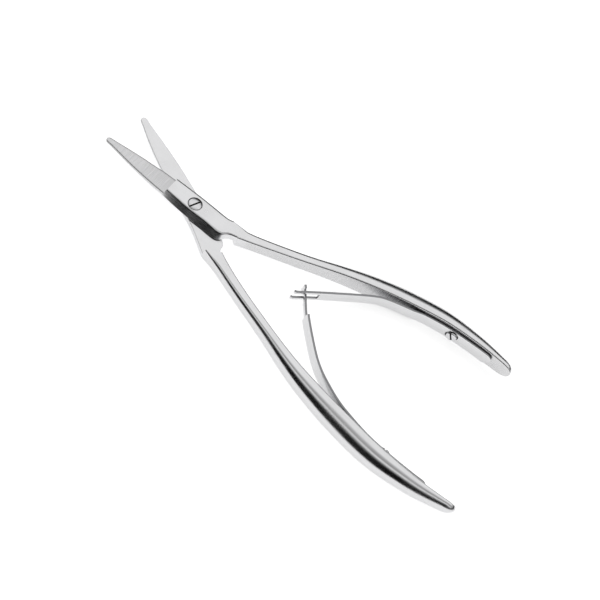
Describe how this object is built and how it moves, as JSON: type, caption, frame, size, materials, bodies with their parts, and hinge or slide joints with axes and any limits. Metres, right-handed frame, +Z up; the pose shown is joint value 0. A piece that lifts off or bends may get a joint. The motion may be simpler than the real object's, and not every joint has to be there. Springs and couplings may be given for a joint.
{
  "type": "thread snips",
  "caption": "Spring-handled thread snips: lapped forged halves on a slotted pivot screw, with round-tipped blades and interlocking leaf springs that hold the handles open.",
  "frame": {"origin": "middle of the footprint, on the surface the snips lie on", "axes": "+Y from the handle ends to the blades, +Z up through the side that shows the pivot screw's head, +X across towards the half whose joint plate is on top"},
  "size_m": [0.0557, 0.1342, 0.007],
  "materials": {
    "satin_steel": "satin polished stainless steel",
    "spring_steel": "ground spring steel strip",
    "screw_steel": "turned and polished steel"
  },
  "bodies": {
    "lower": {"lower_half": "satin_steel", "pivot_screw": "screw_steel", "lower_spring_screw": "screw_steel"},
    "upper": {"upper_half": "satin_steel", "upper_spring_screw": "screw_steel"},
    "fork_leaf": {"fork_spring": "spring_steel"},
    "tongue_leaf": {"tongue_spring": "spring_steel"}
  },
  "joints": [
    {"name": "pivot", "type": "hinge", "parent": "lower", "child": "upper", "pos_m": [0.00187, 0.03679, 0.0035], "axis": [0, 0, -1], "range_deg": [0, 20], "stiffness_Nm_per_rad": 1.4, "springref_deg": -4.58},
    {"name": "fork_flex", "type": "hinge", "parent": "upper", "child": "fork_leaf", "pos_m": [0.01752, -0.02441, 0.0035], "axis": [0, 0, -1], "range_deg": [0, 10], "deforming": ["fork_spring"]},
    {"name": "tongue_flex", "type": "hinge", "parent": "lower", "child": "tongue_leaf", "pos_m": [-0.01948, -0.02721, 0.0035], "axis": [0, 0, 1], "range_deg": [0, 14], "deforming": ["tongue_spring"]}
  ],
  "couplings": [
    {"joint": "fork_flex", "follows": "pivot", "ratio": 0.5},
    {"joint": "tongue_flex", "follows": "pivot", "ratio": 0.7}
  ]
}
